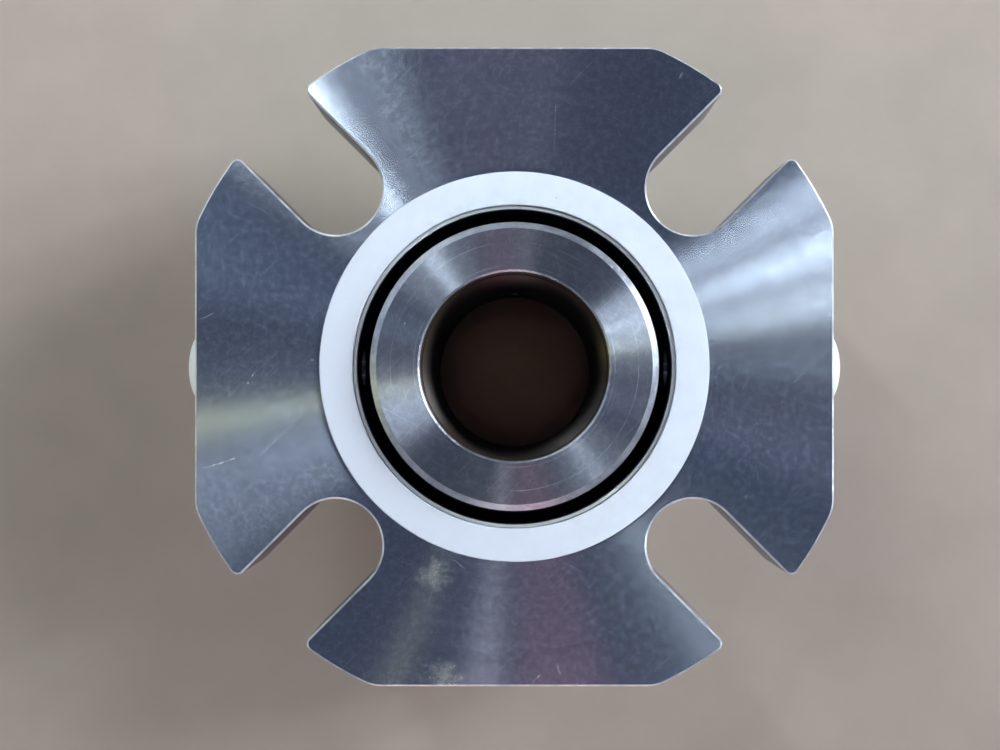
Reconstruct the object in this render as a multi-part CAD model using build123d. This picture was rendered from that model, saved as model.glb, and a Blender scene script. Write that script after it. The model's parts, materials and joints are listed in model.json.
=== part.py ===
from build123d import *
import os
from math import cos, pi, sin

# Single cartridge mechanical seal, all sizes in millimetres.
# The origin is on the shaft axis, in the plane of the gland's inboard face.
# +Z points inboard, into the pump's seal chamber, so what lies outboard has a negative height.
# The two flush ports are on the X axis and the four bolt slots on the diagonals.

# ---------------------------------------------------------------- driving sizes
# clearances
SEAT = 0.02  # between pieces that are pressed or screwed together
RUNNING = 0.06  # a hole round a pin or screw that turns in it
SLIDING = 0.05  # the collar on the sleeve, and a ring in its recess

# shaft sleeve
SHAFT_DIAMETER = 28.0
SLEEVE_WALL = 3.0
SLEEVE_TAIL = 2.5  # beyond the drive collar
HEAD_LENGTH = 9.5
HEAD_PROUD = 3.5  # stands above the gland's inboard face
HEAD_LIP = 0.2  # the head's rim beyond the rotary face
HEAD_CHAMFER = 1.0
BORE_EDGE = 0.3
TAIL_CHAMFER = 0.4

# O-ring grooves
RING_GROOVE_WIDTH = 2.6
SHAFT_RING_DEPTH = 1.4
SHAFT_RING_INSET = 3.2  # from the head's inboard face to the groove
ROTARY_RING_DEPTH = 1.7
STATIONARY_RING_DEPTH = 1.85

# rotary seal face
ROTARY_LENGTH = 7.0
ROTARY_WIDTH = 3.95
ROTARY_CLEARANCE = 0.25
DRIVE_PIN_DIAMETER = 1.8
DRIVE_PIN_LENGTH = 4.5
DRIVE_PIN_INSET = 1.1  # from the rotary face's rim to the pin's axis
DRIVE_PIN_ANGLES = (90.0, 270.0)

# stationary seal face and its spring set
STATIONARY_CLEARANCE = 0.9
STATIONARY_LENGTH = 7.5
NOSE_WIDTH = 2.4
NOSE_LENGTH = 2.0
FLOAT_CLEARANCE = 0.2  # between the floating face and the gland's bore
FLOAT_TRAVEL = 1.5
SPRING_PLATE_THICKNESS = 1.5
SPRING_PLATE_LIP = 0.7  # the plate's bore is this much larger than the face's
SPRING_SETBACK = 0.2  # from the plate's bore to the spring's
SPRING_WIDTH = 2.6
SPRING_STRIP = 0.45
SPRING_WAVES = 4
SPRING_FLAT_HEIGHT = 1.6  # the pocket left for the spring when it is pressed home
STOP_PIN_DIAMETER = 1.5
STOP_PIN_SEAT = 3.0
STOP_PIN_ENTRY = 0.8  # into the face's notch
STOP_PIN_INSET = 0.9  # from the face's rim to the pin's axis
STOP_PIN_ANGLES = (0.0, 180.0)

# gland plate
GLAND_DIAMETER = 105.0
FLAT_DEPTH = 4.5  # the four flats are cut this far into the rim
FLAT_BLEND = 6.0
FLANGE_THICKNESS = 16.5
CHAMBER_GAP = 2.2  # between the sleeve's head and the gland's bore
BACK_WALL = 4.4
SLOT_WIDTH = 14.0
SLOT_WEB = 1.65  # between the gasket's recess and a slot
SLOT_TIP_ROUND = 1.2
PLATE_CHAMFER = 0.3
BOSS_WALL = 1.0

# gland gasket
GASKET_LIP = 0.55
GASKET_WIDTH = 5.15
GASKET_THICKNESS = 1.5
GASKET_RECESS = 1.0

# flush ports and their plugs
PORT_DIAMETER = 10.0
PORT_DEPTH = 9.0
PORT_DRILL = 5.5
PLUG_STEM = 7.0
PLUG_HEAD_DIAMETER = 11.6
PLUG_HEAD_HEIGHT = 3.0
PLUG_RIM = 0.5
PLUG_SHOULDER_DIAMETER = 8.4  # where the crowned head grows steeper
PLUG_SHOULDER_DROP = 1.05
PLUG_TOP_DIAMETER = 3.4

# throttle bush
BUSH_CLEARANCE = 0.25
BUSH_WALL = 1.15

# drive collar and its set screws
COLLAR_GAP = 1.5
COLLAR_LENGTH = 15.0
COLLAR_WALL = 6.0
COLLAR_CHAMFER = 0.8
CLIP_LAND = 1.6  # from the collar's inboard face to the clip groove
CLIP_GROOVE_WIDTH = 2.6
CLIP_GROOVE_DEPTH = 1.4
SET_SCREW_COUNT = 3
SET_SCREW_FIRST_ANGLE = 90.0
SET_SCREW_DIAMETER = 6.0
SET_SCREW_LENGTH = 8.0
SET_SCREW_LIFT = 0.4  # the backed-off end above the shaft
SET_SCREW_FROM_END = 5.5
SET_SCREW_SOCKET = 3.0
SET_SCREW_SOCKET_DEPTH = 3.0
SLEEVE_HOLE_CLEARANCE = 0.3

# setting clips
CLIP_COUNT = 3
CLIP_FIRST_ANGLE = 30.0
CLIP_COLLAR_GAP = 0.4
CLIP_POST_RADIUS = 2.9
CLIP_TIP_CLEARANCE = 0.2
CLIP_SIDE_CLEARANCE = 0.2
CLIP_SCREW_DIAMETER = 3.0
CLIP_SCREW_GRIP = 4.5  # thread in the gland
CLIP_SCREW_HEAD = 3.0
CLIP_SCREW_HEAD_DIAMETER = 5.5
CLIP_SCREW_SOCKET = 2.5
CLIP_SCREW_SOCKET_DEPTH = 1.5
THREAD_RUNOUT = 1.0

# ---------------------------------------------------------------- dependent radii
shaft_r = SHAFT_DIAMETER / 2
tube_r = shaft_r + SLEEVE_WALL
rotary_bore_r = tube_r + ROTARY_CLEARANCE
rotary_rim_r = rotary_bore_r + ROTARY_WIDTH
head_r = rotary_rim_r + HEAD_LIP
drive_pin_r = DRIVE_PIN_DIAMETER / 2
drive_pin_circle = rotary_rim_r - DRIVE_PIN_INSET
rotary_ring_r = tube_r + ROTARY_RING_DEPTH
shaft_ring_r = shaft_r + SHAFT_RING_DEPTH

chamber_r = head_r + CHAMBER_GAP
face_bore_r = tube_r + STATIONARY_CLEARANCE
face_rim_r = chamber_r - FLOAT_CLEARANCE
nose_r = face_bore_r + NOSE_WIDTH
face_ring_r = face_rim_r + STATIONARY_RING_DEPTH
plate_bore_r = face_bore_r + SPRING_PLATE_LIP
spring_bore_r = plate_bore_r + SPRING_SETBACK
stop_pin_r = STOP_PIN_DIAMETER / 2
stop_pin_circle = face_rim_r - STOP_PIN_INSET

bush_bore_r = tube_r + BUSH_CLEARANCE
bush_rim_r = bush_bore_r + BUSH_WALL

gasket_bore_r = chamber_r + GASKET_LIP
gasket_rim_r = gasket_bore_r + GASKET_WIDTH
slot_bottom_r = gasket_rim_r + SLOT_WEB
slot_centre_r = slot_bottom_r + SLOT_WIDTH / 2
gland_r = GLAND_DIAMETER / 2
flat_half = gland_r - FLAT_DEPTH

collar_r = tube_r + COLLAR_WALL
clip_groove_r = collar_r - CLIP_GROOVE_DEPTH
clip_circle = collar_r + CLIP_COLLAR_GAP + CLIP_POST_RADIUS
clip_reach = clip_circle - clip_groove_r - CLIP_TIP_CLEARANCE
boss_r = clip_circle + CLIP_SCREW_DIAMETER / 2 + BOSS_WALL

# ---------------------------------------------------------------- dependent heights, inboard to outboard
head_top = HEAD_PROUD
head_back = head_top - HEAD_LENGTH
shaft_ring_top = head_top - SHAFT_RING_INSET
seal_plane = head_back - ROTARY_LENGTH
nose_back = seal_plane - NOSE_LENGTH
face_back = seal_plane - STATIONARY_LENGTH
face_ring_z = (nose_back + face_back) / 2
plate_back = face_back - SPRING_PLATE_THICKNESS
chamber_floor = plate_back - FLOAT_TRAVEL - SPRING_FLAT_HEIGHT
stop_pin_low = chamber_floor - STOP_PIN_SEAT
stop_pin_high = face_back + STOP_PIN_ENTRY
gland_back = chamber_floor - BACK_WALL
port_z = -FLANGE_THICKNESS / 2
collar_top = gland_back - COLLAR_GAP
collar_back = collar_top - COLLAR_LENGTH
clip_groove_top = collar_top - CLIP_LAND
clip_groove_back = clip_groove_top - CLIP_GROOVE_WIDTH
clip_plate_top = clip_groove_top - CLIP_SIDE_CLEARANCE
clip_plate_back = clip_groove_back + CLIP_SIDE_CLEARANCE
set_screw_z = collar_back + SET_SCREW_FROM_END
sleeve_end = collar_back - SLEEVE_TAIL

clip_angles = [CLIP_FIRST_ANGLE + 360 * i / CLIP_COUNT for i in range(CLIP_COUNT)]
set_screw_angles = [SET_SCREW_FIRST_ANGLE + 360 * i / SET_SCREW_COUNT for i in range(SET_SCREW_COUNT)]


# ---------------------------------------------------------------- helpers
def turned(*points):
    """A solid of revolution about the shaft axis, from (radius, height) points."""
    profile = make_face(Plane.XZ * Polyline(*points, close=True))
    return revolve(profile, Axis.Z)


def ring(inner, outer, low, high):
    """A plain ring about the shaft axis."""
    return turned((inner, low), (outer, low), (outer, high), (inner, high))


def at(angle, radius, height=0.0):
    """The place at a polar position, with its own X pointing outwards."""
    return Rot(0, 0, angle) * Pos(radius, 0, height)


def pin(radius, low, high):
    """A plain round bar along Z."""
    return Pos(0, 0, (low + high) / 2) * Cylinder(radius, high - low)


def radial_bar(radius, start, end, height):
    """A plain round bar along X, from one radius to another."""
    return Pos((start + end) / 2, 0, height) * Rot(0, 90, 0) * Cylinder(radius, end - start)


def fitted_o_ring(inner, outer, middle, width):
    """An O-ring squeezed between two walls: flat where it seals, bulging between."""
    flat = width / 4
    waist = (inner + outer) / 2
    return turned(
        (inner, middle - flat),
        (waist, middle - width / 2),
        (outer, middle - flat),
        (outer, middle + flat),
        (waist, middle + width / 2),
        (inner, middle + flat),
    )


def notch(pin_radius, pin_circle, rim, low, high, clearance):
    """The space of a notch, open at a ring's rim, that fits round a pin along Z on the X axis."""
    start = pin_circle - pin_radius - clearance
    width = 2 * (pin_radius + clearance)
    size = Box(rim + 1 - start, width, high - low, align=(Align.MIN, Align.CENTER, Align.MIN))
    return Pos(start, 0, low) * size


# ---------------------------------------------------------------- gland
def gland_outline():
    """The plate's outline: a disc with four flats, and four open slots on its diagonals."""
    disc = Circle(gland_r) & Rectangle(2 * flat_half, 2 * flat_half)
    disc = fillet(disc.vertices(), FLAT_BLEND)
    run_out = gland_r - slot_centre_r + SLOT_WIDTH
    slot = Circle(SLOT_WIDTH / 2) + Pos(run_out / 2, 0) * Rectangle(run_out, SLOT_WIDTH)
    for angle in (45, 135, 225, 315):
        disc -= at(angle, slot_centre_r) * slot
    half = SLOT_WIDTH / 2
    tip_reach = (gland_r**2 - half**2) ** 0.5
    tips = [v for v in disc.vertices() if is_slot_tip(v, half, tip_reach)]
    return fillet(tips, SLOT_TIP_ROUND)


def is_slot_tip(vertex, half, tip_reach):
    """Whether a vertex is where a slot's wall meets the plate's rim."""
    along = (abs(vertex.X) + abs(vertex.Y)) * 0.5**0.5
    across = abs(abs(vertex.X) - abs(vertex.Y)) * 0.5**0.5
    return abs(along - tip_reach) < 0.01 and abs(across - half) < 0.01


def gland_plate():
    """The flange, with its inboard edges broken."""
    plate = Pos(0, 0, -FLANGE_THICKNESS) * extrude(gland_outline(), FLANGE_THICKNESS)
    inboard = plate.faces().sort_by(Axis.Z)[-1]
    return chamfer(inboard.edges(), PLATE_CHAMFER)


def gland_hollows():
    """The turned bore and the gasket's recess: chamber, O-ring groove and the bush's seat."""
    chamber = ring(0, chamber_r, chamber_floor, 1)
    half = RING_GROOVE_WIDTH / 2
    groove = ring(0, face_ring_r + SEAT, face_ring_z - half, face_ring_z + half)
    bush_seat = ring(0, bush_rim_r + SEAT, gland_back - 1, 1)
    recess = ring(gasket_bore_r, gasket_rim_r + SLIDING, -GASKET_RECESS, 1)
    return [chamber, groove, bush_seat, recess]


def gland_ports():
    """On each side, a tapped port and the drilling that flushes the chamber."""
    mouth = radial_bar(PORT_DIAMETER / 2, flat_half - PORT_DEPTH, gland_r, port_z)
    drilling = radial_bar(PORT_DRILL / 2, chamber_r - 1, gland_r, port_z)
    port = mouth + drilling
    return [port, Rot(0, 0, 180) * port]


def gland_holes():
    """Blind holes for the stop pins and the clip screws."""
    holes = []
    for angle in STOP_PIN_ANGLES:
        hole = pin(stop_pin_r + SEAT, stop_pin_low, chamber_floor + 1)
        holes.append(at(angle, stop_pin_circle) * hole)
    for angle in clip_angles:
        high = gland_back + CLIP_SCREW_GRIP + THREAD_RUNOUT
        hole = pin(CLIP_SCREW_DIAMETER / 2 + SEAT, gland_back - 1, high)
        holes.append(at(angle, clip_circle) * hole)
    return holes


def make_gland():
    boss = pin(boss_r, gland_back, -FLANGE_THICKNESS)
    gland = gland_plate() + boss
    for cut in gland_hollows() + gland_ports() + gland_holes():
        gland -= cut
    return gland


def make_gasket():
    return ring(gasket_bore_r + SLIDING, gasket_rim_r, -GASKET_RECESS, GASKET_THICKNESS - GASKET_RECESS)


def make_port_plug():
    """A plastic port plug with a thin rim and a crowned head, on the +X side."""
    rim_r = PLUG_HEAD_DIAMETER / 2
    stem_r = PORT_DIAMETER / 2 - SLIDING
    plug = turned(
        (0, -PLUG_STEM),
        (stem_r, -PLUG_STEM),
        (stem_r, 0),
        (rim_r, 0),
        (rim_r, PLUG_RIM),
        (PLUG_SHOULDER_DIAMETER / 2, PLUG_HEAD_HEIGHT - PLUG_SHOULDER_DROP),
        (PLUG_TOP_DIAMETER / 2, PLUG_HEAD_HEIGHT),
        (0, PLUG_HEAD_HEIGHT),
    )
    return Pos(flat_half, 0, port_z) * Rot(0, 90, 0) * plug


def make_throttle_bush():
    return ring(bush_bore_r, bush_rim_r, gland_back, chamber_floor)


def make_stop_pin(angle):
    return at(angle, stop_pin_circle) * pin(stop_pin_r, stop_pin_low, stop_pin_high)


# ---------------------------------------------------------------- floating face
def stop_notch(low, high):
    return notch(stop_pin_r, stop_pin_circle, face_rim_r, low, high, RUNNING)


def make_stationary_face():
    """The carbon ring: a narrow nose towards the rotor, and two stop notches in its back."""
    face = turned(
        (face_bore_r, face_back),
        (face_rim_r, face_back),
        (face_rim_r, nose_back),
        (nose_r, nose_back),
        (nose_r, seal_plane),
        (face_bore_r, seal_plane),
    )
    notch_top = stop_pin_high + FLOAT_TRAVEL + RUNNING
    for angle in STOP_PIN_ANGLES:
        face -= Rot(0, 0, angle) * stop_notch(face_back - 1, notch_top)
    return face


def make_spring_plate():
    plate = ring(plate_bore_r, face_rim_r, plate_back, face_back)
    for angle in STOP_PIN_ANGLES:
        plate -= Rot(0, 0, angle) * stop_notch(plate_back - 1, face_back + 1)
    return plate


def wave_edge(radius, lift):
    """One closed wavy edge of the spring, half the strip's thickness above or below its middle."""
    middle = (plate_back + chamber_floor) / 2
    swing = (plate_back - chamber_floor - SPRING_STRIP) / 2 - SEAT
    steps = 4 * SPRING_WAVES
    points = []
    for i in range(steps):
        turn = 2 * pi * i / steps
        height = middle + lift + swing * cos(SPRING_WAVES * turn)
        points.append((radius * cos(turn), radius * sin(turn), height))
    return Edge.make_spline([Vector(*point) for point in points], periodic=True)


def make_wave_spring():
    """A flat strip closed into a ring, whose crests bear on the plate and troughs on the gland."""
    half = SPRING_STRIP / 2
    rim_r = spring_bore_r + SPRING_WIDTH
    inner_top = wave_edge(spring_bore_r, half)
    inner_back = wave_edge(spring_bore_r, -half)
    outer_top = wave_edge(rim_r, half)
    outer_back = wave_edge(rim_r, -half)
    pairs = (
        (inner_top, outer_top),
        (inner_back, outer_back),
        (inner_back, inner_top),
        (outer_back, outer_top),
    )
    return Solid(Shell([Face.make_surface_from_curves(*pair) for pair in pairs]))


# ---------------------------------------------------------------- rotor
def make_sleeve():
    sleeve = turned(
        (shaft_r, sleeve_end),
        (tube_r - TAIL_CHAMFER, sleeve_end),
        (tube_r, sleeve_end + TAIL_CHAMFER),
        (tube_r, head_back),
        (head_r, head_back),
        (head_r, head_top - HEAD_CHAMFER),
        (head_r - HEAD_CHAMFER, head_top),
        (shaft_r + BORE_EDGE, head_top),
        (shaft_r, head_top - BORE_EDGE),
    )
    sleeve -= ring(0, shaft_ring_r, shaft_ring_top - RING_GROOVE_WIDTH, shaft_ring_top)
    hole_r = SET_SCREW_DIAMETER / 2 + SLEEVE_HOLE_CLEARANCE
    for angle in set_screw_angles:
        sleeve -= Rot(0, 0, angle) * radial_bar(hole_r, shaft_r - 1, tube_r + 1, set_screw_z)
    for angle in DRIVE_PIN_ANGLES:
        low = head_back - 1
        hole = pin(drive_pin_r + SEAT, low, head_back + DRIVE_PIN_LENGTH / 2)
        sleeve -= at(angle, drive_pin_circle) * hole
    return sleeve


def make_drive_pin(angle):
    half = DRIVE_PIN_LENGTH / 2
    return at(angle, drive_pin_circle) * pin(drive_pin_r, head_back - half, head_back + half - SEAT)


def make_rotary_face():
    """A plain ring with an O-ring seat and two drive notches in its back."""
    face = ring(rotary_bore_r, rotary_rim_r, seal_plane, head_back)
    face -= ring(0, rotary_ring_r + SEAT, head_back - RING_GROOVE_WIDTH, head_back + 1)
    low = head_back - DRIVE_PIN_LENGTH / 2 - SLIDING
    space = notch(drive_pin_r, drive_pin_circle, rotary_rim_r, low, head_back + 1, SLIDING)
    for angle in DRIVE_PIN_ANGLES:
        face -= Rot(0, 0, angle) * space
    return face


def make_drive_collar():
    collar = turned(
        (tube_r + SLIDING, collar_back),
        (collar_r - COLLAR_CHAMFER, collar_back),
        (collar_r, collar_back + COLLAR_CHAMFER),
        (collar_r, clip_groove_back),
        (clip_groove_r, clip_groove_back),
        (clip_groove_r, clip_groove_top),
        (collar_r, clip_groove_top),
        (collar_r, collar_top),
        (tube_r + SLIDING, collar_top),
    )
    hole_r = SET_SCREW_DIAMETER / 2 + SEAT
    for angle in set_screw_angles:
        collar -= Rot(0, 0, angle) * radial_bar(hole_r, tube_r - 1, collar_r + 1, set_screw_z)
    return collar


def make_set_screw(angle):
    """A flat-ended socket set screw, backed off clear of the shaft."""
    screw = pin(SET_SCREW_DIAMETER / 2, 0, SET_SCREW_LENGTH)
    socket = extrude(RegularPolygon(SET_SCREW_SOCKET / 2, 6, major_radius=False), SET_SCREW_SOCKET_DEPTH)
    screw -= Pos(0, 0, SET_SCREW_LENGTH - SET_SCREW_SOCKET_DEPTH) * socket
    return Rot(0, 0, angle) * Pos(shaft_r + SET_SCREW_LIFT, 0, set_screw_z) * Rot(0, 90, 0) * screw


# ---------------------------------------------------------------- setting clips
def make_setting_clip(angle):
    """An eccentric clip: a round post, and a plate whose tongue sits in the collar's groove."""
    post = pin(CLIP_POST_RADIUS, clip_plate_top - 1, gland_back)
    tongue = Circle(clip_reach) & Pos(-clip_reach, 0) * Rectangle(2 * clip_reach, 2 * CLIP_POST_RADIUS)
    plate = extrude(Circle(CLIP_POST_RADIUS) + tongue, clip_plate_top - clip_plate_back)
    clip = post + Pos(0, 0, clip_plate_back) * plate
    clip -= pin(CLIP_SCREW_DIAMETER / 2 + RUNNING, clip_plate_back - 1, gland_back + 1)
    return at(angle, clip_circle) * clip


def make_clip_screw(angle):
    """A socket head cap screw, holding its clip with a running clearance under the head."""
    head_top_z = clip_plate_back - RUNNING
    head_end_z = head_top_z - CLIP_SCREW_HEAD
    shank_end = gland_back + CLIP_SCREW_GRIP
    screw = pin(CLIP_SCREW_DIAMETER / 2, head_top_z - 1, shank_end)
    screw += pin(CLIP_SCREW_HEAD_DIAMETER / 2, head_end_z, head_top_z)
    socket = extrude(RegularPolygon(CLIP_SCREW_SOCKET / 2, 6, major_radius=False), CLIP_SCREW_SOCKET_DEPTH)
    screw -= Pos(0, 0, head_end_z) * socket
    return at(angle, clip_circle) * screw


# ---------------------------------------------------------------- all pieces
def numbered(name, make, angles):
    """One named piece for each angle, counted from 1."""
    return {f"{name}_{i}": make(angle) for i, angle in enumerate(angles, start=1)}


def make_pieces():
    port_plug = make_port_plug()
    width = RING_GROOVE_WIDTH - 2 * SLIDING
    shaft_ring_z = shaft_ring_top - RING_GROOVE_WIDTH / 2
    rotary_ring_z = head_back - RING_GROOVE_WIDTH / 2
    pieces = {
        "gland": make_gland(),
        "gland_gasket": make_gasket(),
        "port_plug_right": port_plug,
        "port_plug_left": Rot(0, 0, 180) * port_plug,
        "throttle_bush": make_throttle_bush(),
        "stationary_face": make_stationary_face(),
        "stationary_o_ring": fitted_o_ring(face_rim_r + SLIDING, face_ring_r, face_ring_z, width),
        "spring_plate": make_spring_plate(),
        "wave_spring": make_wave_spring(),
        "sleeve": make_sleeve(),
        "sleeve_o_ring": fitted_o_ring(shaft_r + SLIDING, shaft_ring_r - SEAT, shaft_ring_z, width),
        "rotary_face": make_rotary_face(),
        "rotary_o_ring": fitted_o_ring(tube_r + SEAT, rotary_ring_r, rotary_ring_z, width),
        "drive_collar": make_drive_collar(),
    }
    pieces.update(numbered("stop_pin", make_stop_pin, STOP_PIN_ANGLES))
    pieces.update(numbered("drive_pin", make_drive_pin, DRIVE_PIN_ANGLES))
    pieces.update(numbered("set_screw", make_set_screw, set_screw_angles))
    pieces.update(numbered("setting_clip", make_setting_clip, clip_angles))
    pieces.update(numbered("clip_screw", make_clip_screw, clip_angles))
    return pieces


os.makedirs("parts", exist_ok=True)
for node, shape in make_pieces().items():
    export_step(shape, f"parts/{node}.step")
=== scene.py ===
import json
import math

import bpy
from mathutils import Matrix, Vector
from mathutils.noise import noise


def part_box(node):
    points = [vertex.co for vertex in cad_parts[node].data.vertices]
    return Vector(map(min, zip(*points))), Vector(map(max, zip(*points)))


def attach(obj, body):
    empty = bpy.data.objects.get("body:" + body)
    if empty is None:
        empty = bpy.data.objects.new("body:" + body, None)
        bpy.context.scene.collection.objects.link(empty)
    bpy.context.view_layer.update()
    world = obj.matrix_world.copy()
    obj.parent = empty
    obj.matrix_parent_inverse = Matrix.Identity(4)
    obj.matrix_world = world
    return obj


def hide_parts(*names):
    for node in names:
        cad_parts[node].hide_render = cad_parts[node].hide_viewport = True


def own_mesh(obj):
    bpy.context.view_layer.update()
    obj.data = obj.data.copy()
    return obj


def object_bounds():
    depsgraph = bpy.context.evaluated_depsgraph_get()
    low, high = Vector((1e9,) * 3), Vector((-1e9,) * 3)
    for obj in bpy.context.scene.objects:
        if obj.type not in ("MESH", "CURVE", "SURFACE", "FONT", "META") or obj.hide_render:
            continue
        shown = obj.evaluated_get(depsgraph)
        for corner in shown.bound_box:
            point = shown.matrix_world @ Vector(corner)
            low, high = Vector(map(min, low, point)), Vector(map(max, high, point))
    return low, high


# The cartridge seal as it lies in the studio, seen from its inboard side. All sizes are in metres.
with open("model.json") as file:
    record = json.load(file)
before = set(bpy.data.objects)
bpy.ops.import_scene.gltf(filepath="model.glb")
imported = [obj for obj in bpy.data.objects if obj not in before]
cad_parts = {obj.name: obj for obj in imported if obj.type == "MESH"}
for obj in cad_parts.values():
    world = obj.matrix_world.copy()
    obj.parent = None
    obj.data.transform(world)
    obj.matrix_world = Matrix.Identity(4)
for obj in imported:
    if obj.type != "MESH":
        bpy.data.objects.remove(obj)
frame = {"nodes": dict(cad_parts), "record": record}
cad_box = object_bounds()

MM = 0.001
TURN = 2 * math.pi


# ---------------------------------------------------------------- sizes taken from the frame
FLOAT_CLEARANCE = 0.2 * MM  # between the floating face and the gland's bore


def node_radii(node):
    """The smallest and largest distance of a node's vertices from the shaft axis."""
    distances = [v.co.xy.length for v in frame["nodes"][node].data.vertices]
    return min(distances), max(distances)


floor_z = cad_box[0].z
shaft_r = node_radii("sleeve")[0]
head_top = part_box("sleeve")[1].z
gasket_bore_r, gasket_rim_r = node_radii("gland_gasket")
gasket_low, gasket_high = (corner.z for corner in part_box("gland_gasket"))
gland_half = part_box("gland")[1].x
chamber_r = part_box("stationary_face")[1].x + FLOAT_CLEARANCE


# ---------------------------------------------------------------- camera
IMAGE_WIDTH = 1000
FOCAL_PIXELS = 1256  # the lens's focal length, in pixels of the photograph's frame
SENSOR = 36.0
CAMERA_PLACE = Vector((0.00024, -0.00378, 0.1885))
CAMERA_SHIFT = (-0.016, 0.017)
CLIP_START = 10 * MM


def make_camera():
    """The camera looks straight down on the seal's inboard side."""
    data = bpy.data.cameras.new("camera")
    data.sensor_width = SENSOR
    data.lens = SENSOR * FOCAL_PIXELS / IMAGE_WIDTH
    data.shift_x, data.shift_y = CAMERA_SHIFT
    data.clip_start = CLIP_START
    camera = bpy.data.objects.new("camera", data)
    camera.location = CAMERA_PLACE
    bpy.context.scene.collection.objects.link(camera)
    bpy.context.scene.camera = camera


# ---------------------------------------------------------------- node trees
COLOUR_A, COLOUR_B, COLOUR_OUT = 6, 7, 2  # the Mix node's sockets for colours


class Tree:
    """A material and its shader, with short calls for the nodes that are used often."""

    def __init__(self, name):
        self.material = bpy.data.materials.new(name)
        self.material.use_nodes = True
        self.tree = self.material.node_tree
        self.shader = self.tree.nodes["Principled BSDF"]

    def feed(self, socket, value):
        """Links an output to a socket, or sets the socket's own value."""
        if isinstance(value, bpy.types.NodeSocket):
            self.tree.links.new(value, socket)
        elif isinstance(value, tuple) and len(value) == 3 and socket.type == "RGBA":
            socket.default_value = (*value, 1)
        else:
            socket.default_value = value

    def node(self, kind, inputs=None, **settings):
        """A new node, with values or links for its sockets and settings of its own."""
        made = self.tree.nodes.new("ShaderNode" + kind)
        for name, value in settings.items():
            setattr(made, name, value)
        for name, value in (inputs or {}).items():
            self.feed(made.inputs[name], value)
        return made

    def set(self, **inputs):
        """Values or links for the shader's own sockets, by name with _ for a space."""
        for name, value in inputs.items():
            self.feed(self.shader.inputs[name.replace("_", " ")], value)

    def math(self, operation, *values):
        made = self.node("Math", operation=operation)
        for socket, value in zip(made.inputs, values):
            self.feed(socket, value)
        return made.outputs[0]

    def most(self, *values):
        """The largest of several values."""
        total = values[0]
        for value in values[1:]:
            total = self.math("MAXIMUM", total, value)
        return total

    def place(self):
        """The point being shaded, in metres."""
        return self.node("TexCoord").outputs["Object"]

    def level(self):
        """How level the surface lies: 1 on a flat top, 0 on an upright side."""
        return self.math("ABSOLUTE", self.axes(self.node("TexCoord").outputs["Normal"])[2])

    def axes(self, vector):
        return self.node("SeparateXYZ", {"Vector": vector}).outputs

    def join(self, x, y, z):
        return self.node("CombineXYZ", {"X": x, "Y": y, "Z": z}).outputs[0]

    def polar(self):
        """The radius, angle and height of a point about the shaft axis."""
        x, y, z = self.axes(self.place())
        square = self.math("ADD", self.math("MULTIPLY", x, x), self.math("MULTIPLY", y, y))
        return self.math("SQRT", square), self.math("ARCTAN2", y, x), z

    def noise(self, vector, scale, detail=2.0, roughness=0.5):
        """Cloudy noise about 0.5, whose grains are 1 / scale wide."""
        inputs = {"Vector": vector, "Scale": scale, "Detail": detail, "Roughness": roughness}
        return self.node("TexNoise", inputs).outputs["Fac"]

    def remap(self, value, low, high, to_low=0.0, to_high=1.0):
        """A value's place between two limits, as a value between two others."""
        inputs = {"Value": value, "From Min": low, "From Max": high, "To Min": to_low, "To Max": to_high}
        return self.node("MapRange", inputs).outputs[0]

    def band(self, value, low, high, soft):
        """1 where a value lies between two limits, fading to 0 beyond them."""
        rise = self.remap(value, low - soft, low)
        return self.math("MULTIPLY", rise, self.remap(value, high, high + soft, 1, 0))

    def mix(self, factor, a, b):
        """Between two colours."""
        made = self.node("Mix", data_type="RGBA")
        self.feed(made.inputs["Factor"], factor)
        self.feed(made.inputs[COLOUR_A], a)
        self.feed(made.inputs[COLOUR_B], b)
        return made.outputs[COLOUR_OUT]

    def blend(self, factor, a, b):
        """Between two numbers."""
        return self.node("Mix", {"Factor": factor, "A": a, "B": b}).outputs["Result"]

    def bump(self, height, distance, strength=1.0, normal=None):
        """The normal of a surface that a height of 1 lifts by a distance, over the normal given."""
        inputs = {"Height": height, "Distance": distance, "Strength": strength}
        if normal is not None:
            inputs["Normal"] = normal
        return self.node("Bump", inputs).outputs[0]


# ---------------------------------------------------------------- materials
NOISE_SPAN = (0.3, 0.7)  # where nearly all noise lies
HAIR_WINDOW = (0.70, 0.76)  # noise under the first is bare, and over the second a scratch
SPECK_RAGGED = 1.5  # grains of raggedness across a speck
SPECK_CHANCE = 0.45  # the share of places left without a speck
SPECK_SOFT = 0.2  # of a speck's size, over which it fades


def hairlines(t, place, turn, length, width, seed):
    """Sparse fine scratches that lie about one way: 1 on a scratch, 0 beside it."""
    shifted = {"Vector": place, "Rotation": (0, 0, turn), "Location": (seed, -seed, 0)}
    turned = t.node("Mapping", shifted).outputs[0]
    drawn_out = {"Vector": turned, "Scale": (1 / length, 1 / width, 1 / length)}
    stretched = t.node("Mapping", drawn_out).outputs[0]
    return t.remap(t.noise(stretched, 1.0, 1), *HAIR_WINDOW)


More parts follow.
